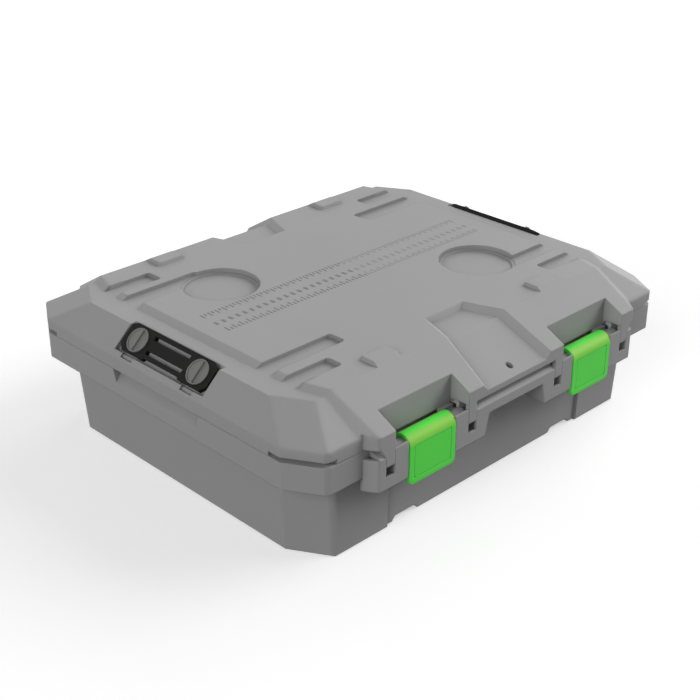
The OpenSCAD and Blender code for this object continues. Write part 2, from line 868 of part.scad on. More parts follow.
// Hollow under a bonnet, from one side of the middle channel to the bonnet's end
module bonnet_hollow(face, crease) {
    drop = (panel_z - skirt_z) / (face - crease);
    edge = -recess_wall_y - wall;
    ceiling = panel_z - wall - wall * slope_share;
    half = panel_half - bonnet_narrow - 2 * wall;
    both_sides()
        translate([(chan_out_half + wall + half) / 2, 0, 0])
            along_x(half - chan_out_half - wall)
                polygon([[crease - chan_l / 2, parting_z + flange_t], [crease - chan_l / 2, ceiling],
                         [crease, ceiling], [edge, ceiling - drop * (edge - crease)],
                         [edge, parting_z + flange_t]]);
}

// Lid inside, less what has to stay solid
module lid_inside() {
    mouth = inset(rim, seal_in + seal_w / 2 + 2 * over);
    hollow = inset(rim, wall);
    ceiling = inset(lid_top, wall * slope_share);
    knee_z = skirt_z - wall * slope_share;
    disc_low = panel_z - disc_h - disc_step - wall;
    difference() {
        union() {
            upright(mouth, parting_z - over, parting_z + flange_t + over, rim_r - wall);
            intersection() {
                upright(hollow, parting_z + flange_t, border_z - wall, rim_r - wall);
                sloped(hollow, ceiling, knee_z, border_z - wall, parting_z);
            }
            bonnet_hollow(back_y, back_crease_y);
            mirror([0, 1, 0]) bonnet_hollow(-front_y, -front_crease_y);
        }
        both_sides()
            span([latch_x - recess_half - wall, -rim_d, parting_z + flange_t],
                 [latch_x + recess_half + wall, recess_wall_y + wall, panel_z]);
        both_ends()
            span([-chan_out_half - wall, back_crease_y - chan_l - wall, border_z - 2 * wall + over],
                 [chan_out_half + wall, rim_d, panel_z]);
        for (end = [-1, 1])
            translate([-end * pad_x, end * disc_y, disc_low])
                cylinder(r = disc_r + wall, h = panel_z);
        both_sides() on_slope() splate_bed(wall, 0);
    }
}

// Places its children on a side slope: x runs up the slope, z stands square to it
module on_slope() {
    translate([rim_w / 2, 0, skirt_z])
        rotate([0, slope_a, 0])
            mirror([1, 0, 0])
                children();
}

// Recess in which a side plate lies, grown by t, its floor under the plate
module splate_bed(t, up) {
    half = splate_half + splate_gap + t;
    translate([splate_low - splate_gap - t, -half, -splate_t - t])
        cube([splate_high - splate_low + 2 * (splate_gap + t), 2 * half, splate_t + t + up]);
}

// Outline of a side plate, up the slope and along the case
module splate_outline() {
    cut = (splate_high - splate_low) * corner_share;
    half = [[splate_low + waist_cut, waist_half], [splate_low, waist_half + waist_cut],
            [splate_low, splate_half - cut], [splate_low + cut, splate_half],
            [splate_high - cut / 2, splate_half], [splate_high, splate_half - cut]];
    other = [for (i = [len(half) - 1 : -1 : 0]) [half[i][0], -half[i][1]]];
    polygon(concat(half, other));
}

// A window of a side plate
module splate_window(s) {
    translate([s, -window_half, -2 * splate_t])
        cube([window_h, 2 * window_half, 3 * splate_t]);
}

// Side plate, on the right-hand side
module splate() {
    difference() {
        translate([0, 0, -splate_t])
            linear_extrude(splate_t)
                splate_outline();
        splate_window(splate_low + waist_cut + window_in);
        splate_window(splate_high - window_in - window_h);
        for (end = [-1, 1])
            translate([stud_s, end * stud_y, 0]) {
                translate([0, 0, -stud_h / 2])
                    cylinder(r = stud_r + plain_gap, h = stud_h);
                translate([0, 0, -2 * splate_t])
                    cylinder(r = neck_r + running_gap, h = 3 * splate_t);
            }
    }
}

// Quarter-turn stud on the right-hand side, at one end of the plate
module stud(end) {
    translate([stud_s, end * stud_y, 0])
        rotate(ridge_a) {
            difference() {
                translate([0, 0, -stud_h / 2])
                    cylinder(r = stud_r, h = stud_h);
                translate([0, 0, stud_h / 2 - stud_h * dish_share])
                    difference() {
                        cylinder(r = stud_r - rib_t / 2, h = stud_h);
                        translate([-stud_r, -ridge_w / 2, -over])
                            cube([2 * stud_r, ridge_w, 2 * stud_h]);
                    }
            }
            translate([-stud_r * ridge_share, -ridge_w / 2, 0])
                cube([2 * stud_r * ridge_share, ridge_w, stud_h / 2 + ridge_h * ridge_share]);
            translate([0, 0, -splate_t])
                cylinder(r = neck_r, h = splate_t);
            translate([0, 0, -splate_t - wall - plain_gap - rib_t])
                cylinder(r = stem_r, h = splate_t + wall);
            translate([-wing_half, -rib_t, -splate_t - wall - plain_gap - rib_t])
                cube([2 * wing_half, 2 * rib_t, rib_t]);
        }
}

// Hole in the lid for a stud's stem, with the slot that lets its cross bar through
module stud_hole(end) {
    translate([stud_s, end * stud_y, -splate_t - 2 * wall])
        rotate(ridge_a) {
            cylinder(r = stem_r + plain_gap, h = 3 * wall);
            translate([-rib_t - plain_gap, -wing_half - plain_gap, 0])
                cube([2 * (rib_t + plain_gap), 2 * (wing_half + plain_gap), 3 * wall]);
        }
}

// Finger notch in the lid beside a side plate
module plate_notch(s, end) {
    translate([s - notch_w, end * stud_y - notch_l / 2, -splate_t / 2])
        cube([2 * notch_w, notch_l, splate_t]);
}

// Cheek beside an outer tongue, grown by t
module cheek(t) {
    half = slot_w / 2 - tongue_gap;
    polygon([[0, deck_z - cheek_low - t], [half, deck_z - cheek_low - t],
             [half + cheek_w + t, lip_z], [0, lip_z]]);
}

// Tongue of the lid's front edge, in its slot
module tongue(x, outer) {
    half = slot_w / 2 - tongue_gap;
    translate([x, 0, 0]) {
        span([-half, front_y, tongue_z], [half, front_y + tongue_t, skirt_z - over]);
        if (outer)
            translate([0, front_y + tongue_t / 2, 0])
                along_y(tongue_t)
                    cheek(0);
    }
}

// Knuckle that holds a latch pin, with the block that carries it
module latch_knuckle(side) {
    inner = latch_w / 2 - knuckle_in;
    outer = recess_half + over;
    block = recess_half - latch_w / 2 - over;
    translate([latch_x + side * (inner + outer) / 2, 0, 0])
        rod_x(0, pivot_y, pivot_z, knuckle_r, outer - inner);
    translate([latch_x + side * (recess_half - block / 2), 0, 0])
        along_x(block + over)
            polygon([[pivot_y, pivot_z - knuckle_r], [recess_wall_y + over, pivot_z - knuckle_r],
                     [recess_wall_y + over, pivot_z + knuckle_r],
                     [recess_wall_y - wall, pivot_z + knuckle_r],
                     [recess_wall_y - wall, pivot_z + knuckle_r / 2], [pivot_y, pivot_z + knuckle_r / 2]]);
}

// The lid's middle knuckle of a hinge
module middle_knuckle() {
    translate([hinge_x, 0, 0]) {
        rod_x(0, axis_y, axis_z, hinge_d / 2, hinge_mid_l);
        along_x(hinge_mid_l)
            polygon([[axis_y - hinge_d / 2, axis_z + plain_gap], [axis_y + hinge_d / 2, axis_z],
                     [back_y, skirt_z], [back_y - wall, skirt_z], [back_y - wall, axis_z + plain_gap]]);
    }
}

module lid_shell() {
    seal_mid = inset(rim, seal_in);
    color("#9c9c9c")
        difference() {
            union() {
                difference() {
                    union() {
                        lid_outside();
                        both_sides() {
                            tongue(latch_x - slot_x, false);
                            tongue(latch_x + slot_x, true);
                        }
                    }
                    lid_inside();
                    both_sides()
                        span([latch_x - recess_half, front_y - over, 0],
                             [latch_x + recess_half, recess_wall_y, panel_z]);
                    ring(inset(seal_mid, -seal_w / 2), inset(seal_mid, seal_w / 2),
                         parting_z, parting_z + seal_h);
                    lid_channel(back_y, back_crease_y);
                    mirror([0, 1, 0]) lid_channel(-front_y, -front_crease_y);
                    for (end = [-1, 1])
                        translate([-end * pad_x, end * disc_y, panel_z - disc_h]) {
                            cylinder(r = disc_r, h = disc_h + over);
                            translate([0, 0, -disc_step])
                                cylinder(r = disc_r - disc_ledge, h = disc_h);
                        }
                }
                both_sides() {
                    span([latch_x - recess_half, recess_wall_y, recess_low_z],
                         [latch_x + recess_half, recess_wall_y + wall, parting_z + flange_t]);
                    latch_knuckle(-1);
                    latch_knuckle(1);
                    middle_knuckle();
                }
            }
            both_sides() {
                rod_x(latch_x, pivot_y, pivot_z, latch_pin_d / 2, 2 * latch_pin_half);
                rod_x(hinge_x, axis_y, axis_z, hinge_pin_d / 2 + running_gap, hinge_mid_l + 2 * over);
                for (side = [-1, 1])
                    rod_x(hinge_x + side * (hinge_mid_l + hinge_end_l + 2 * hinge_gap) / 2,
                          axis_y, axis_z, hinge_d / 2 + over, hinge_end_l + 2 * hinge_gap);
                on_slope() {
                    splate_bed(0, roof_h);
                    for (end = [-1, 1]) {
                        stud_hole(end);
                        plate_notch(splate_low - splate_gap, end);
                        plate_notch(splate_high + splate_gap, end);
                    }
                }
            }
            // Gaps under the skirt round the four corners
            both_sides() both_ends() corner_slot();
            translate([0, lock_y, 0])
                cylinder(d = lock_d, h = panel_z);
        }
}

// Gap between the lid's skirt and the band at a corner
module corner_slot() {
    x0 = rim_w / 2 - 1.5 * corner_w;
    y0 = rim_d / 2 - 1.4 * corner_d;
    difference() {
        span([x0, y0, parting_z - over], [rim_w, rim_d, parting_z + corner_gap]);
        tapered(inset(rim, 2 * wall), inset(rim, 2 * wall), 0, panel_z);
    }
}

module lid_seal() {
    seal_mid = inset(rim, seal_in);
    color("#202020")
        ring(inset(seal_mid, -seal_w / 2), inset(seal_mid, seal_w / 2), parting_z, parting_z + seal_h);
}

// Side view of a latch: plate, curl round the pin, and hook
module latch_profile() {
    difference() {
        union() {
            translate([pivot_y, pivot_z]) circle(r = curl_r);
            translate([latch_face_y, pivot_z - latch_drop]) square([latch_t, latch_drop]);
            translate([latch_face_y, pivot_z - latch_drop]) square([latch_t + hook_in, latch_drop / 2]);
        }
        translate([pivot_y, pivot_z]) circle(r = curl_r - latch_t);
        // Under the curl the plate hangs free, behind it only the hook's arc is left
        difference() {
            translate([latch_face_y + latch_t, pivot_z - latch_drop - over])
                square([2 * curl_r, latch_drop + over]);
            translate([latch_face_y, pivot_z - latch_drop]) square([latch_t + hook_in, latch_drop / 2]);
        }
        intersection() {
            translate([pivot_y, pivot_z]) circle(r = catch_r + plain_gap);
            translate([latch_face_y + latch_t, pivot_z - catch_r - latch_t])
                square([2 * curl_r, catch_r + latch_t - latch_drop / 2 + over]);
        }
    }
}

// Latch on the right-hand side
module latch() {
    hub_half = latch_w / 2 - knuckle_in - plain_gap;
    low_z = pivot_z - latch_drop;
    difference() {
        union() {
            along_x_at(latch_x, latch_w) latch_profile();
            rod_x(latch_x, pivot_y, pivot_z, curl_r - latch_t + over / 4, 2 * hub_half);
        }
        rod_x(latch_x, pivot_y, pivot_z, latch_pin_d / 2 + running_gap, 2 * recess_half);
        // Sunk panel in the face
        span([latch_x - latch_w / 2 + panel_frame, latch_face_y - over, low_z + panel_frame],
             [latch_x + latch_w / 2 - panel_frame, latch_face_y + panel_sunk, pivot_z]);
        // Rounded lower corners
        for (side = [-1, 1])
            translate([latch_x + side * (latch_w / 2 - latch_corner), 0, low_z + latch_corner])
                difference() {
                    translate([side * latch_corner / 2, pivot_y, -latch_corner / 2])
                        cube([latch_corner + over, 4 * curl_r, latch_corner + over], center = true);
                    rotate([90, 0, 0])
                        cylinder(r = latch_corner, h = 4 * rim_d, center = true);
                }
    }
}

// Extrudes a shape drawn in y and z along x, round a place
module along_x_at(x, l) {
    translate([x, 0, 0]) along_x(l) children();
}

module latch_right() {
    color("#4bb83c") latch();
}

module latch_left() {
    color("#4bb83c") mirror([1, 0, 0]) latch();
}

module latch_pin_right() {
    color("#b8b8b8") rod_x(latch_x, pivot_y, pivot_z, latch_pin_d / 2, 2 * latch_pin_half);
}

module latch_pin_left() {
    mirror([1, 0, 0]) latch_pin_right();
}

module hinge_pin_right() {
    color("#b8b8b8")
        rod_x(hinge_x, axis_y, axis_z, hinge_pin_d / 2, hinge_mid_l + 2 * hinge_end_l + 2 * hinge_gap);
}

module hinge_pin_left() {
    mirror([1, 0, 0]) hinge_pin_right();
}

module side_plate_right() {
    color("#222222") on_slope() splate();
}

module side_plate_left() {
    mirror([1, 0, 0]) side_plate_right();
}

module stud_right_front() {
    color("#6a6a6a") on_slope() stud(-1);
}

module stud_right_back() {
    color("#6a6a6a") on_slope() stud(1);
}

module stud_left_front() {
    mirror([1, 0, 0]) stud_right_front();
}

module stud_left_back() {
    mirror([1, 0, 0]) stud_right_back();
}

base_tub();
lid_shell();
lid_seal();
latch_left();
latch_right();
latch_pin_left();
latch_pin_right();
hinge_pin_left();
hinge_pin_right();
side_plate_left();
side_plate_right();
stud_left_front();
stud_left_back();
stud_right_front();
stud_right_back();
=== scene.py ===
"""Looks of a low, rugged storage case in grey moulded plastic with two green latches.

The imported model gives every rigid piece. This script gives each piece its finish, sets the ruler
on the lid, closes the faces of the latches, turns the studs' grips up the slope and builds the
studio around the case.
"""

import json
import logging
import math
from dataclasses import dataclass, field
from enum import Enum

import bmesh
import bpy
from mathutils import Matrix, Vector


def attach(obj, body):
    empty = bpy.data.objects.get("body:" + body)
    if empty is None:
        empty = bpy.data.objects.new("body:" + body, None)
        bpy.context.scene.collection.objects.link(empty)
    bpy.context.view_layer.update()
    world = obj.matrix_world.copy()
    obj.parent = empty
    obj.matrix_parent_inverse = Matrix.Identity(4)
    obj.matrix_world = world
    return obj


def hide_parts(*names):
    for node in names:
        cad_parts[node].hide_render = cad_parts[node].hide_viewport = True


log = logging.getLogger("storage_case")
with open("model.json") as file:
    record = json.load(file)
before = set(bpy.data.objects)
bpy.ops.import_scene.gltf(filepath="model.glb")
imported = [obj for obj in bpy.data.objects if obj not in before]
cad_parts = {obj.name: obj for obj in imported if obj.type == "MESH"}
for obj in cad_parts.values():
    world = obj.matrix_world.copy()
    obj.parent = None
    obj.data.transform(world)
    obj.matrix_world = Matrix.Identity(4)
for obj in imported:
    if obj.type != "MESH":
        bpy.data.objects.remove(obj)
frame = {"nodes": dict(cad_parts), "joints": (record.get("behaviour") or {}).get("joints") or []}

MM = 0.001

Colour = tuple[float, float, float]


class Body(Enum):
    """Rigid bodies of the case that added pieces ride on."""

    LID = "lid"
    LATCH_LEFT = "latch_left"
    LATCH_RIGHT = "latch_right"


class Slot(Enum):
    """Material slots of the record."""

    LID = "lid_grey"
    LATCH = "latch_green"
    STUD = "stud_grey"


class Effect(Enum):
    """Shader node groups that the finishes share."""

    GRAIN = "moulded_grain"
    CLOUDING = "flow_clouding"
    FAR_CORNER = "far_corner"
    # The mask of a painted sheen on the shoulder of a curl.
    SHOULDER_SHEEN = "curl_shoulder_sheen"


class Wiring:
    """Short ways to add nodes to one tree and to join them."""

    def __init__(self, tree: bpy.types.NodeTree) -> None:
        """Takes the tree that gets the nodes."""
        self.tree = tree

    def add(self, kind: str, **settings: object) -> bpy.types.Node:
        """Adds a node.

        Args:
            kind: Type of the node.
            **settings: Values of the node's properties.

        Returns:
            The new node.
        """
        node = self.tree.nodes.new(kind)
        for name, value in settings.items():
            setattr(node, name, value)
        return node

    def feed(self, socket: bpy.types.NodeSocket, source: object) -> None:
        """Joins an input to the output of another node, or gives it a value.

        Args:
            socket: The input.
            source: The output to join it to, or the value.
        """
        if isinstance(source, bpy.types.NodeSocket):
            self.tree.links.new(source, socket)
        else:
            socket.default_value = source

    def math(self, operation: str, *values: object) -> bpy.types.NodeSocket:
        """Adds a Math node.

        Args:
            operation: What it does.
            *values: What its inputs get, in their order.

        Returns:
            The result.
        """
        node = self.add("ShaderNodeMath", operation=operation)
        for socket, value in zip(node.inputs, values):
            self.feed(socket, value)
        return node.outputs[0]

    def remap(
        self,
        value: bpy.types.NodeSocket,
        start: object = 0.0,
        end: object = 1.0,
        low: object = 0.0,
        high: object = 1.0,
        **settings: object,
    ) -> bpy.types.NodeSocket:
        """Maps the range from start to end to the range from low to high, and stops at both.

        Args:
            value: The value to map.
            start: Value that gives low.
            end: Value that gives high.
            low: Result at start.
            high: Result at end.
            **settings: Values of the node's properties.

        Returns:
            The result.
        """
        node = self.add("ShaderNodeMapRange", **settings)
        names = ("Value", "From Min", "From Max", "To Min", "To Max")
        for name, given in zip(names, (value, start, end, low, high)):
            self.feed(node.inputs[name], given)
        return node.outputs["Result"]

    def group(self, tree: bpy.types.NodeTree, inputs: dict[str, object]) -> bpy.types.NodeOutputs:
        """Places a node group.

        Args:
            tree: The group.
            inputs: What its inputs get, by name.

        Returns:
            Its outputs.
        """
        node = self.add("ShaderNodeGroup", node_tree=tree)
        for name, given in inputs.items():
            self.feed(node.inputs[name], given)
        return node.outputs


@dataclass
class SharedEffects:
    """Shader node groups that more than one finish can use, each built once.

    Attributes:
        fine_over_cells: How much finer the fine noise is than the grain's cells.
        fine_detail: Detail of the fine noise.
        cell_share: Share of the cells in the height of the grain.
        cloud_detail: Detail of the clouds.
        corner_starts: Distances from the middle planes and height where a far corner starts.
        upright_end: Upward parts of the normal between which a curl leaves the upright.
        level_start: Upward parts of the normal between which a curl comes to the level.
    """

    fine_over_cells: float = 2.3
    fine_detail: float = 2.0
    cell_share: float = 0.6
    cloud_detail: float = 3.0
    corner_starts: tuple[float, float, float] = (205 * MM, 150 * MM, 137 * MM)
    upright_end: tuple[float, float] = (0.12, 0.2)
    level_start: tuple[float, float] = (0.96, 0.88)

    def __post_init__(self) -> None:
        """Starts with no group built."""
        self._built: dict[Effect, bpy.types.NodeTree] = {}

    def get(self, effect: Effect) -> bpy.types.NodeTree:
        """Gives the group of an effect and builds it the first time.

        Args:
            effect: The effect.

        Returns:
            Its node tree.
        """
        makers = {
            Effect.GRAIN: self._grain,
            Effect.CLOUDING: self._clouding,
            Effect.FAR_CORNER: self._far_corner,
            Effect.SHOULDER_SHEEN: self._shoulder_sheen,
        }
        if effect not in self._built:
            self._built[effect] = makers[effect]()
        return self._built[effect]

    @staticmethod
    def _start(
        effect: Effect, inputs: dict[str, float], outputs: list[str]
    ) -> tuple[Wiring, bpy.types.NodeOutputs, bpy.types.NodeInputs]:
        """Makes an empty group with a vector input, float inputs and float outputs.

        Args:
            effect: The effect that the group is for.
            inputs: Name and default of each float input.
            outputs: Names of the float outputs.

        Returns:
            The group's wiring, the sockets that bring its inputs and those that take its outputs.
        """
        wire = Wiring(bpy.data.node_groups.new(effect.value, "ShaderNodeTree"))
        new = wire.tree.interface.new_socket
        new("Vector", in_out="INPUT", socket_type="NodeSocketVector")
        for name, value in inputs.items():
            new(name, in_out="INPUT", socket_type="NodeSocketFloat").default_value = value
        for name in outputs:
            new(name, in_out="OUTPUT", socket_type="NodeSocketFloat")
        return wire, wire.add("NodeGroupInput").outputs, wire.add("NodeGroupOutput").inputs

    def _grain(self) -> bpy.types.NodeTree:
        """Builds the fine spark-eroded grain of a moulded surface.

        Returns:
            A group with the outputs Height, for a Bump node, and Shine, a roughness offset.
        """
        wire, given, result = self._start(
            Effect.GRAIN, {"Cells per metre": 900.0, "Shine spread": 0.06}, ["Height", "Shine"]
        )
        cells = wire.add("ShaderNodeTexVoronoi", feature="SMOOTH_F1")
        fine = wire.add("ShaderNodeTexNoise")
        finer = wire.math("MULTIPLY", given["Cells per metre"], self.fine_over_cells)
        wire.feed(fine.inputs["Detail"], self.fine_detail)
        for texture, scale in ((cells, given["Cells per metre"]), (fine, finer)):
            wire.feed(texture.inputs["Vector"], given["Vector"])
            wire.feed(texture.inputs["Scale"], scale)
        noise = fine.outputs["Fac"]
        height = wire.math("MULTIPLY_ADD", cells.outputs["Distance"], self.cell_share, noise)
        centred = wire.math("SUBTRACT", noise, 0.5)
        wire.feed(result["Height"], height)
        wire.feed(result["Shine"], wire.math("MULTIPLY", centred, given["Shine spread"]))
        return wire.tree

    def _clouding(self) -> bpy.types.NodeTree:
        """Builds very soft, wide changes of tone, as plastic has where it flowed and cooled.

        Returns:
            A group with the output Tone, about 1, to multiply a colour with.
        """
        wire, given, result = self._start(
            Effect.CLOUDING, {"Clouds per metre": 9.0, "Spread": 0.05}, ["Tone"]
        )
        clouds = wire.add("ShaderNodeTexNoise")
        wire.feed(clouds.inputs["Detail"], self.cloud_detail)
        wire.feed(clouds.inputs["Vector"], given["Vector"])
        wire.feed(clouds.inputs["Scale"], given["Clouds per metre"])
        low = wire.math("SUBTRACT", 1.0, given["Spread"])
        high = wire.math("ADD", 1.0, given["Spread"])
        wire.feed(result["Tone"], wire.remap(clouds.outputs["Fac"], low=low, high=high))
        return wire.tree

    def _far_corner(self) -> bpy.types.NodeTree:
        """Builds a mask that tells the far corners of a piece from the rest of it.

        Returns:
            A group with the output Mask, 1 beyond From x and From y and above From z.
        """
        starts = {"From " + axis: start for axis, start in zip("xyz", self.corner_starts)}
        wire, given, result = self._start(Effect.FAR_CORNER, starts, ["Mask"])
        split = wire.add("ShaderNodeSeparateXYZ")
        wire.feed(split.inputs[0], given["Vector"])
        mask = 1.0
        for away, start in zip(split.outputs, starts):
            past = wire.math("GREATER_THAN", wire.math("ABSOLUTE", away), given[start])
            mask = wire.math("MULTIPLY", mask, past)
        wire.feed(result["Mask"], mask)
        return wire.tree

    def _shoulder_sheen(self) -> bpy.types.NodeTree:
        """Masks the painted sheen on a curl's shoulder, where the curl turns from upright to
        level.

        Returns:
            A group with the output Mask, 1 on the painted sheen. Its input Vector is the normal.
        """
        wire, given, result = self._start(Effect.SHOULDER_SHEEN, {}, ["Mask"])
        split = wire.add("ShaderNodeSeparateXYZ")
        wire.feed(split.inputs[0], given["Vector"])
        sides = [
            wire.remap(split.outputs["Z"], start, end, interpolation_type="SMOOTHSTEP")
            for start, end in (self.upright_end, self.level_start)
        ]
        wire.feed(result["Mask"], wire.math("MULTIPLY", *sides))
        return wire.tree


@dataclass(frozen=True)
class Finish:
    """One finish of the case, and how to build its material.

    Attributes:
        name: Name of the material.
        colour: Linear base colour.
        roughness: Roughness of the smooth surface.
        specular: Specular level.
        metallic: 1 for metal.
        grain_per_metre: Grain cells in a metre.
        grain_depth: Height of the grain.
        clouding: Spread of the wide changes of tone.
        corner_radius: Radius at which the shader rounds what edges are left, 0 for none.
        roof_radius: The same at the far corners of the lid's roof, 0 for no difference.
        shoulder_sheen: Linear colour of a painted sheen on the shoulder of a curl, if any.
        nook_shade_tone: Tone of the painted shade in the deepest nook, 1 for none.
        nook_shade_reach: How far around a corner the painted shade in nooks reaches.
        nook_shade_depth: Open share of the sky at which the painted shade has its full tone.
    """

    name: str
    colour: Colour
    roughness: float
    specular: float = 0.5
    metallic: float = 0.0
    grain_per_metre: float = 900.0
    grain_depth: float = 0.03 * MM
    clouding: float = 0.04
    corner_radius: float = 1.6 * MM
    roof_radius: float = 0.0
    shoulder_sheen: Colour | None = None
    nook_shade_tone: float = 1.0
    nook_shade_reach: float = 14 * MM
    nook_shade_depth: float = 0.35

    def material(self, effects: SharedEffects) -> bpy.types.Material:
        """Builds the material.

        Args:
            effects: The shared node groups.

        Returns:
            The new material.
        """
        material = bpy.data.materials.new(self.name)
        material.use_nodes = True
        material.diffuse_color = (*self.colour, 1.0)
        wire = Wiring(material.node_tree)
        place = wire.add("ShaderNodeTexCoord").outputs["Object"]
        grain = wire.group(
            effects.get(Effect.GRAIN), {"Cells per metre": self.grain_per_metre, "Vector": place}
        )
        values = {
            "Metallic": self.metallic,
            "Specular IOR Level": self.specular,
            "Roughness": wire.math("ADD", grain["Shine"], self.roughness),
            "Base Color": self._paint(wire, effects, place),
            "Normal": self._relief(wire, effects, place, grain["Height"]),
        }
        shader = material.node_tree.nodes["Principled BSDF"]
        for name, value in values.items():
            wire.feed(shader.inputs[name], value)
        return material

    def _paint(
        self, wire: Wiring, effects: SharedEffects, place: bpy.types.NodeSocket
    ) -> bpy.types.NodeSocket:
        """Makes the colour with its clouds, its painted shade in nooks and its painted sheen.

        Args:
            wire: Wiring of the material.
            effects: The shared node groups.
            place: Place on the piece.

        Returns:
            The colour.
        """
        tone = wire.group(
            effects.get(Effect.CLOUDING), {"Spread": self.clouding, "Vector": place}
        )["Tone"]
        # Painted shade: ambient occlusion darkens the colour in nooks and creases.
        if self.nook_shade_tone < 1.0:
            sky = wire.add("ShaderNodeAmbientOcclusion", samples=4, only_local=True)
            wire.feed(sky.inputs["Distance"], self.nook_shade_reach)
            nook = wire.remap(sky.outputs["AO"], start=self.nook_shade_depth, low=self.nook_shade_tone)
            tone = wire.math("MULTIPLY", tone, nook)
        # Painted sheen: a yellower colour where a curl's normal turns from upright to level.
        colour = self.colour if self.shoulder_sheen is None else self._shoulder_sheen_paint(wire, effects)
        painted = wire.add("ShaderNodeVectorMath", operation="SCALE")
        wire.feed(painted.inputs[0], colour)
        wire.feed(painted.inputs["Scale"], tone)
        return painted.outputs[0]

    def _shoulder_sheen_paint(self, wire: Wiring, effects: SharedEffects) -> bpy.types.NodeSocket:
        """Mixes the colour with the painted sheen on the shoulder of a curl.

        Args:
            wire: Wiring of the material.
            effects: The shared node groups.

        Returns:
            The mixed colour.
        """
        normal = wire.add("ShaderNodeNewGeometry").outputs["Normal"]
        mask = wire.group(effects.get(Effect.SHOULDER_SHEEN), {"Vector": normal})["Mask"]
        mix = wire.add("ShaderNodeMix", data_type="VECTOR")
        wire.feed(mix.inputs[0], mask)
        colours = [socket for socket in mix.inputs if socket.type == "VECTOR" and socket.enabled]
        for socket, colour in zip(colours, (self.colour, self.shoulder_sheen)):
            wire.feed(socket, colour)
        return next(s for s in mix.outputs if s.type == "VECTOR" and s.enabled)

    def _relief(
        self,
        wire: Wiring,
        effects: SharedEffects,
        place: bpy.types.NodeSocket,
        grain: bpy.types.NodeSocket,
    ) -> bpy.types.NodeSocket:
        """Makes the normal with its grain and its rounded edges.

        Args:
            wire: Wiring of the material.
            effects: The shared node groups.
            place: Place on the piece.
            grain: Height of the grain.

        Returns:
            The normal.
        """
        bump = wire.add("ShaderNodeBump")
        wire.feed(bump.inputs["Strength"], 1.0)
        wire.feed(bump.inputs["Distance"], self.grain_depth)
        wire.feed(bump.inputs["Height"], grain)
        if self.corner_radius > 0.0:
            radius = self.corner_radius
            if self.roof_radius > 0.0:
                far = wire.group(effects.get(Effect.FAR_CORNER), {"Vector": place})["Mask"]
                radius = wire.remap(far, low=self.corner_radius, high=self.roof_radius)
            corner = wire.add("ShaderNodeBevel", samples=6)
            wire.feed(corner.inputs["Radius"], radius)
            wire.feed(bump.inputs["Normal"], corner.outputs["Normal"])
        return bump.outputs["Normal"]


@dataclass
class Finishes:
    """All finishes of the case, built once each."""

    effects: SharedEffects = field(default_factory=SharedEffects)
    # The lid and the tub get painted shade in their nooks.
    lid: Finish = Finish(
        "lid_plastic", (0.345, 0.345, 0.345), 0.55, 0.25,
        corner_radius=2 * MM, roof_radius=8 * MM, nook_shade_tone=0.66,
    )
    tub: Finish = Finish("tub_plastic", (0.345, 0.345, 0.345), 0.55, 0.25, nook_shade_tone=0.66)
    seal: Finish = Finish("seal_rubber", (0.02, 0.02, 0.02), 0.7, 0.3, grain_per_metre=1500.0)
    # The latch gets a painted sheen on the shoulder of its curl.
    latch: Finish = Finish(
        "latch_plastic", (0.112, 0.86, 0.084), 0.45, 0.2,
        grain_depth=0.01 * MM, shoulder_sheen=(0.26, 0.7, 0.075),
    )
    steel: Finish = Finish("pin_steel", (0.6, 0.6, 0.6), 0.3, 0.5, 1.0, grain_depth=0.005 * MM)
    plate: Finish = Finish(
        "plate_plastic", (0.0085, 0.0085, 0.008), 0.6, 0.12,
        grain_depth=0.02 * MM, corner_radius=0.9 * MM,
    )
    stud: Finish = Finish(
        "stud_plastic", (0.19, 0.19, 0.187), 0.4, 0.4,
        grain_depth=0.01 * MM, corner_radius=0.8 * MM,
    )
    # Painted shade on the ruler's marks: dark on the left ones, faint on the right ones.
    ruler_dark_shade: Finish = Finish("ruler_marks_left", (0.2, 0.2, 0.2), 0.55, 0.25, corner_radius=0.0)
    ruler_faint_shade: Finish = Finish(
        "ruler_marks_right", (0.3, 0.3, 0.3), 0.55, 0.25, corner_radius=0.0
    )

    def __post_init__(self) -> None:
        """Starts with no material built."""
        self._built: dict[str, bpy.types.Material] = {}

    def get(self, finish: Finish) -> bpy.types.Material:
        """Gives the material of a finish and builds it the first time.

        Args:
            finish: The finish.

        Returns:
            Its material.
        """
        if finish.name not in self._built:
            self._built[finish.name] = finish.material(self.effects)
        return self._built[finish.name]

    def dress(self, mesh: bpy.types.Mesh, finish: Finish) -> None:
        """Gives a mesh one finish all over.

        Args:
            mesh: The mesh.
            finish: The finish.
        """
        mesh.materials.clear()
        mesh.materials.append(self.get(finish))


def show(name: str, mesh: bpy.types.Mesh) -> bpy.types.Object:
    """Makes the object of a mesh and puts it in the scene.

    Args:
        name: Name of the object.
        mesh: Its mesh.

    Returns:
        The object.
    """
    piece = bpy.data.objects.new(name, mesh)
    bpy.context.scene.collection.objects.link(piece)
    return piece


@dataclass
class MouldedPiece:
    """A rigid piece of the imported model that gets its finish.

    Attributes:
        node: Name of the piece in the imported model.
        finish: Its finish.
    """

    node: str
    finish: Finish

    def build(self, finishes: Finishes) -> None:
        """Dresses the piece.

        Args:
            finishes: The finishes of the case.
        """
        mesh = frame["nodes"][self.node].data
        finishes.dress(mesh, self.finish)
        log.info("%s: %d faces", self.node, len(mesh.polygons))


@dataclass(frozen=True)
class Mark:
    """One kind of mark on the ruler.

    Attributes:
        name: Name of the kind.
        y0: Front end of the mark.
        y1: Back end of the mark.
        width: Width of the mark.
        between: Whether it stands halfway between the centimetres.
    """

    name: str
    y0: float
    y1: float
    width: float = 1.2 * MM
    between: bool = False


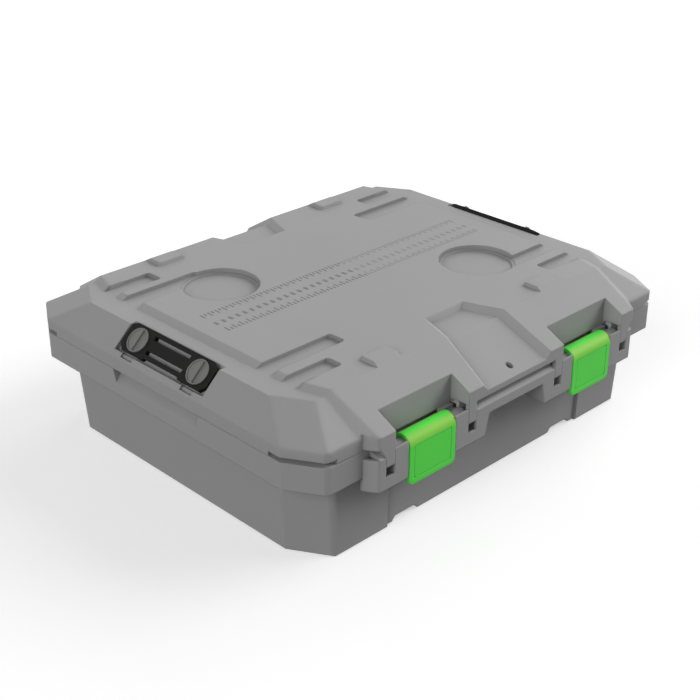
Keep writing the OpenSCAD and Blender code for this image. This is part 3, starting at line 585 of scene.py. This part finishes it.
@dataclass
class RulerRow:
    """One row of equal marks along the ruler on the lid.

    Attributes:
        name: Name of the row's object.
        mark: Kind of its marks.
        start_x: Place of the first mark.
        count: Number of marks.
        pitch: Distance from mark to mark.
        height: Height of a mark over the panel.
    """

    name: str
    mark: Mark
    start_x: float
    count: int
    pitch: float
    height: float = 0.25 * MM

    def build(self, panel_z: float, material: bpy.types.Material) -> bpy.types.Object:
        """Sets the marks along the row with a node tree and makes them one plain mesh.

        Args:
            panel_z: Height of the panel that carries them.
            material: Their material.

        Returns:
            The row's object.
        """
        mark = self.mark
        start = (self.start_x, (mark.y0 + mark.y1) / 2, panel_z + self.height / 2)
        values = {
            "Count": self.count,
            "Pitch": self.pitch,
            "Start": Vector(start),
            "Mark size": Vector((mark.width, mark.y1 - mark.y0, self.height)),
            "Material": material,
        }
        empty = bpy.data.meshes.new(self.name)
        empty.materials.append(material)
        row = show(self.name, empty)
        modifier = row.modifiers.new("marks", "NODES")
        modifier.node_group = self._tree()
        for socket in modifier.node_group.interface.items_tree:
            if socket.name in values and socket.in_out == "INPUT":
                modifier[socket.identifier] = values[socket.name]
        bpy.context.view_layer.update()
        evaluated = row.evaluated_get(bpy.context.evaluated_depsgraph_get())
        plain_mesh = bpy.data.meshes.new_from_object(evaluated)
        row.modifiers.clear()
        row.data = plain_mesh
        bpy.data.meshes.remove(empty)
        plain_mesh.name = self.name
        return row

    def _tree(self) -> bpy.types.NodeTree:
        """Builds the node tree: a line of points, a bar on each, realised.

        Returns:
            The node tree.
        """
        wire = Wiring(bpy.data.node_groups.new(self.name, "GeometryNodeTree"))
        new = wire.tree.interface.new_socket
        for name, kind in (
            ("Count", "NodeSocketInt"),
            ("Pitch", "NodeSocketFloat"),
            ("Start", "NodeSocketVector"),
            ("Mark size", "NodeSocketVector"),
            ("Material", "NodeSocketMaterial"),
        ):
            new(name, in_out="INPUT", socket_type=kind)
        new("Geometry", in_out="OUTPUT", socket_type="NodeSocketGeometry")
        given = wire.add("NodeGroupInput").outputs
        step = wire.add("ShaderNodeCombineXYZ")
        line = wire.add("GeometryNodeMeshLine", mode="OFFSET")
        bar = wire.add("GeometryNodeMeshCube")
        place = wire.add("GeometryNodeInstanceOnPoints")
        real = wire.add("GeometryNodeRealizeInstances")
        paint = wire.add("GeometryNodeSetMaterial")
        result = wire.add("NodeGroupOutput")
        for socket, source in (
            (step.inputs["X"], given["Pitch"]),
            (line.inputs["Count"], given["Count"]),
            (line.inputs["Start Location"], given["Start"]),
            (line.inputs["Offset"], step.outputs["Vector"]),
            (bar.inputs["Size"], given["Mark size"]),
            (place.inputs["Points"], line.outputs["Mesh"]),
            (place.inputs["Instance"], bar.outputs["Mesh"]),
            (real.inputs["Geometry"], place.outputs["Instances"]),
            (paint.inputs["Geometry"], real.outputs["Geometry"]),
            (paint.inputs["Material"], given["Material"]),
            (result.inputs["Geometry"], paint.outputs["Geometry"]),
        ):
            wire.feed(socket, source)
        return wire.tree


@dataclass
class LidRuler:
    """The centimetre ruler on the lid's raised panel.

    Attributes:
        left: Left end of the scale.
        panel_z: Height of the raised panel.
        pitch: Distance from one centimetre's mark to the next.
        centimetres: Number of centimetre marks.
        dark_shade_marks: Number of marks at each row's left that get the darker painted shade.
        marks: The kinds of marks.
    """

    left: float = -198.7 * MM
    panel_z: float = 173.2 * MM
    pitch: float = 10 * MM
    centimetres: int = 41
    dark_shade_marks: int = 21
    marks: tuple[Mark, ...] = (
        Mark("back_centimetres", 21 * MM, 30 * MM),
        Mark("back_halves", 25 * MM, 30 * MM, between=True),
        Mark("middle", -1 * MM, 6 * MM, 3.2 * MM),
        Mark("front_centimetres", -20 * MM, -11 * MM),
        Mark("front_halves", -20 * MM, -15 * MM, between=True),
    )

    def build(self, finishes: Finishes) -> None:
        """Builds all rows of marks and lets them ride on the lid.

        Args:
            finishes: The finishes of the case.
        """
        for mark in self.marks:
            start = self.left + (self.pitch / 2 if mark.between else 0.0)
            rest = self.centimetres - self.dark_shade_marks - (1 if mark.between else 0)
            # The left marks get the dark painted shade, the rest the faint one.
            for end, finish, count in (
                ("left", finishes.ruler_dark_shade, self.dark_shade_marks),
                ("right", finishes.ruler_faint_shade, rest),
            ):
                row = RulerRow(f"ruler_{mark.name}_{end}", mark, start, count, self.pitch)
                piece = row.build(self.panel_z, finishes.get(finish))
                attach(piece, Body.LID.value)
                log.info("%s: %d marks", row.name, row.count)
                start += self.dark_shade_marks * self.pitch


@dataclass
class LatchFace:
    """The smooth panel that closes the face of a latch up to a hairline.

    Attributes:
        side: -1 for the left latch, 1 for the right one.
        middle_x: Distance of the latch's middle from the case's middle.
        half: Half width of the panel.
        low_z: Lower edge of the panel.
        high_z: Upper edge of the panel.
        floor_y: Place of the sunk face behind the panel.
        thick: Thickness of the panel.
        corner: Radius of the panel's corners.
        corner_steps: Number of straight steps around a corner.
    """

    side: int
    middle_x: float = 131.7 * MM
    half: float = 26.9 * MM
    low_z: float = 76.4 * MM
    high_z: float = 112.7 * MM
    floor_y: float = -251.0 * MM
    thick: float = 0.62 * MM
    corner: float = 2.5 * MM
    corner_steps: int = 6

    def build(self, finishes: Finishes) -> None:
        """Builds the panel, dresses it and lets it ride on its latch.

        Args:
            finishes: The finishes of the case.
        """
        body = Body.LATCH_LEFT if self.side < 0 else Body.LATCH_RIGHT
        name = body.value.replace("latch", "latch_face")
        form = bmesh.new()
        face = form.faces.new([form.verts.new(place) for place in self._outline()])
        raised = bmesh.ops.extrude_face_region(form, geom=[face])
        front = [v for v in raised["geom"] if isinstance(v, bmesh.types.BMVert)]
        bmesh.ops.translate(form, verts=front, vec=(0.0, -self.thick, 0.0))
        bmesh.ops.recalc_face_normals(form, faces=form.faces)
        mesh = bpy.data.meshes.new(name)
        form.to_mesh(mesh)
        form.free()
        finishes.dress(mesh, finishes.latch)
        panel = show(name, mesh)
        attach(panel, body.value)
        log.info("%s: %d faces", name, len(mesh.polygons))

    def _outline(self) -> list[tuple[float, float, float]]:
        """Follows the panel's outline.

        Returns:
            The places along it.
        """
        middle_z = (self.low_z + self.high_z) / 2
        reach_x = self.half - self.corner
        reach_z = (self.high_z - self.low_z) / 2 - self.corner
        places = []
        for quarter, (across, upwards) in enumerate(((1, 1), (-1, 1), (-1, -1), (1, -1))):
            for step in range(self.corner_steps + 1):
                turn = math.pi / 2 * (quarter + step / self.corner_steps)
                x = self.side * self.middle_x + across * reach_x + self.corner * math.cos(turn)
                z = middle_z + upwards * reach_z + self.corner * math.sin(turn)
                places.append((x, self.floor_y, z))
        return places


@dataclass
class TurnedStud:
    """A quarter-turn stud whose grip stands square to its plate, as it does when locked.

    Attributes:
        node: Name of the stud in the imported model.
        head_foot: Depth of the head below the joint's place.
        grip_foot: Height from which only the grip is met.
        neck: Radius that clears the neck under the head.
        crease: Bend from which two faces meet in an edge, in radians.
        merge: Distance within which two corners of the mesh are one.
    """

    node: str
    head_foot: float = 1.2 * MM
    grip_foot: float = 2.5 * MM
    neck: float = 10.0 * MM
    crease: float = math.radians(30.0)
    merge: float = 0.001 * MM

    def build(self, finishes: Finishes) -> None:
        """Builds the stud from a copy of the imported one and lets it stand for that.

        Args:
            finishes: The finishes of the case.
        """
        joint = next(j for j in frame["joints"] if j["name"] == self.node + "_turn")
        anchor, axis = Vector(joint["pos_m"]), Vector(joint["axis"]).normalized()
        mesh = self._merged_copy()
        turn = Matrix.Rotation(self._grip_turn(mesh, anchor, axis), 4, axis)
        place = Matrix.Translation(anchor) @ turn @ Matrix.Translation(-anchor)
        for vertex in mesh.vertices:
            away = vertex.co - anchor
            height = away.dot(axis)
            beside = (away - axis * height).length
            if height > -self.head_foot or (beside > self.neck and height > -2 * self.head_foot):
                vertex.co = place @ vertex.co
        finishes.dress(mesh, finishes.stud)
        stud = show(mesh.name, mesh)
        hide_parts(self.node)
        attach(stud, self.node)
        log.info("%s: %d faces", stud.name, len(mesh.polygons))

    def _merged_copy(self) -> bpy.types.Mesh:
        """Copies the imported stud's mesh and joins its loose triangles.

        Returns:
            The new mesh, with every bend past the crease shaded as an edge.
        """
        form = bmesh.new()
        form.from_mesh(frame["nodes"][self.node].data)
        bmesh.ops.remove_doubles(form, verts=form.verts, dist=self.merge)
        for edge in form.edges:
            edge.smooth = edge.calc_face_angle(math.pi) < self.crease
        mesh = bpy.data.meshes.new(self.node + "_turned")
        form.to_mesh(mesh)
        form.free()
        if "custom_normal" in mesh.attributes:
            mesh.attributes.remove(mesh.attributes["custom_normal"])
        return mesh

    def _grip_turn(self, mesh: bpy.types.Mesh, anchor: Vector, axis: Vector) -> float:
        """Finds how far the head turns until its grip runs up the slope.

        Args:
            mesh: Mesh of the stud.
            anchor: Place of its joint.
            axis: Axis of its joint.

        Returns:
            The turn about the axis, in radians.
        """
        up = (Vector((0.0, 0.0, 1.0)) - axis * axis.z).normalized()
        side = axis.cross(up)
        spread_up = spread_side = both = 0.0
        for vertex in mesh.vertices:
            away = vertex.co - anchor
            if away.dot(axis) < self.grip_foot:
                continue
            u, v = away.dot(up), away.dot(side)
            spread_up += u * u
            spread_side += v * v
            both += u * v
        return -0.5 * math.atan2(2 * both, spread_up - spread_side)


@dataclass
class StorageCase:
    """The case: its moulded pieces, its hardware and its ruler."""

    finishes: Finishes = field(default_factory=Finishes)
    ruler: LidRuler = field(default_factory=LidRuler)

    def pieces(self) -> list[MouldedPiece]:
        """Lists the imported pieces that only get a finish.

        Returns:
            Each piece with its finish.
        """
        f = self.finishes
        result = [
            MouldedPiece("base_tub", f.tub),
            MouldedPiece("lid_shell", f.lid),
            MouldedPiece("lid_seal", f.seal),
        ]
        for side in ("left", "right"):
            result += [
                MouldedPiece("latch_" + side, f.latch),
                MouldedPiece("latch_pin_" + side, f.steel),
                MouldedPiece("hinge_pin_" + side, f.steel),
                MouldedPiece("side_plate_" + side, f.plate),
            ]
        return result

    def build(self) -> None:
        """Builds and dresses the whole case."""
        for piece in self.pieces():
            piece.build(self.finishes)
        self.ruler.build(self.finishes)
        for side in ("left", "right"):
            for end in ("front", "back"):
                TurnedStud(f"stud_{side}_{end}").build(self.finishes)
        for side in (-1, 1):
            LatchFace(side).build(self.finishes)


@dataclass(frozen=True)
class Lamp:
    """A wide, far lamp.

    Attributes:
        name: Name of the lamp.
        azimuth: Direction towards it in plan, in degrees from the case's right.
        elevation: Its height over the horizon, in degrees.
        energy: Its strength.
        width: Angle across which it shines, in degrees.
    """

    name: str
    azimuth: float
    elevation: float
    energy: float
    width: float = 40.0

    def build(self) -> None:
        """Hangs the lamp."""
        data = bpy.data.lights.new(self.name, "SUN")
        data.energy = self.energy
        data.angle = math.radians(self.width)
        turn, rise = math.radians(self.azimuth), math.radians(self.elevation)
        flat = math.cos(rise)
        towards = Vector((flat * math.cos(turn), flat * math.sin(turn), math.sin(rise)))
        lamp = bpy.data.objects.new(self.name, data)
        lamp.rotation_euler = towards.to_track_quat("Z", "Y").to_euler()
        bpy.context.scene.collection.objects.link(lamp)


@dataclass
class Studio:
    """Floor, light and camera around the case.

    Attributes:
        eye: Place of the camera.
        look: Direction in which it looks.
        lens: Focal length for the sensor.
        sensor: Width of the sensor, in millimetres like the lens.
        far_end: Distance up to which the camera sees.
        sky: Strength of the even light from all around.
        floor_tone: How pale the floor is to everything but the camera.
        floor_shown: How pale the floor is to the camera.
        floor_glow: How much of the floor's white shows to the camera in the shade too.
        floor_half: Half width of the floor.
        lamps: The wide lamps around the case.
    """

    eye: Vector = field(default_factory=lambda: Vector((-0.9989, -1.0168, 0.7971)))
    look: Vector = field(default_factory=lambda: Vector((0.6240, 0.6362, -0.4536)))
    lens: float = 68.97
    sensor: float = 36.0
    far_end: float = 100.0
    sky: float = 0.2
    floor_tone: float = 0.12
    floor_shown: float = 0.65
    floor_glow: float = 0.5
    floor_half: float = 30.0
    lamps: tuple[Lamp, ...] = (
        Lamp("left_lamp", 193.0, 25.0, 1.5),
        Lamp("front_right_lamp", 331.0, 30.0, 1.8),
        Lamp("right_lamp", 14.0, 20.0, 1.0),
        Lamp("back_lamp", 75.0, 22.0, 0.3),
    )

    def build(self) -> None:
        """Builds the studio."""
        self._camera()
        self._sky()
        for lamp in self.lamps:
            lamp.build()
        self._floor()
        bpy.context.scene.view_settings.view_transform = "Standard"

    def _camera(self) -> None:
        """Sets the camera at the photograph's place."""
        data = bpy.data.cameras.new("photo_camera")
        data.sensor_width = self.sensor
        data.lens = self.lens
        data.clip_end = self.far_end
        camera = bpy.data.objects.new("photo_camera", data)
        camera.location = self.eye
        camera.rotation_euler = self.look.to_track_quat("-Z", "Y").to_euler()
        bpy.context.scene.collection.objects.link(camera)
        bpy.context.scene.camera = camera

    @staticmethod
    def _seen_directly(wire: Wiring) -> bpy.types.NodeSocket:
        """Tells what is seen, also in gloss or through glass, from what only lights.

        Args:
            wire: Wiring of the world or the floor.

        Returns:
            A socket that is 1 for a camera, glossy or transmission ray and otherwise 0.
        """
        path = wire.add("ShaderNodeLightPath").outputs
        seen = path["Is Camera Ray"]
        for ray in ("Is Glossy Ray", "Is Transmission Ray"):
            seen = wire.math("MAXIMUM", seen, path[ray])
        return seen

    def _sky(self) -> None:
        """Sets the white background and the even light."""
        world = bpy.data.worlds.new("studio")
        bpy.context.scene.world = world
        world.use_nodes = True
        wire = Wiring(world.node_tree)
        back = world.node_tree.nodes["Background"]
        wire.feed(back.inputs["Color"], (1.0, 1.0, 1.0, 1.0))
        strength = wire.remap(self._seen_directly(wire), low=self.sky)
        wire.feed(back.inputs["Strength"], strength)

    def _floor(self) -> None:
        """Lays a wide pale floor."""
        half = self.floor_half
        mesh = bpy.data.meshes.new("floor")
        corners = [(-half, -half, 0.0), (half, -half, 0.0), (half, half, 0.0), (-half, half, 0.0)]
        mesh.from_pydata(corners, [], [range(len(corners))])
        material = bpy.data.materials.new("pale_floor")
        material.use_nodes = True
        wire = Wiring(material.node_tree)
        seen = self._seen_directly(wire)
        values = {
            "Roughness": 0.9,
            "Specular IOR Level": 0.0,
            "Base Color": wire.remap(seen, low=self.floor_tone, high=self.floor_shown),
            "Emission Color": (1.0, 1.0, 1.0, 1.0),
            "Emission Strength": wire.math("MULTIPLY", seen, self.floor_glow),
        }
        shader = material.node_tree.nodes["Principled BSDF"]
        for name, value in values.items():
            wire.feed(shader.inputs[name], value)
        mesh.materials.append(material)
        show("floor", mesh)


def main() -> None:
    """Builds the case and the studio."""
    logging.basicConfig(level=logging.INFO, format="%(name)s: %(message)s")
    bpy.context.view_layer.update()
    StorageCase().build()
    Studio().build()


if __name__ == "__main__":
    main()
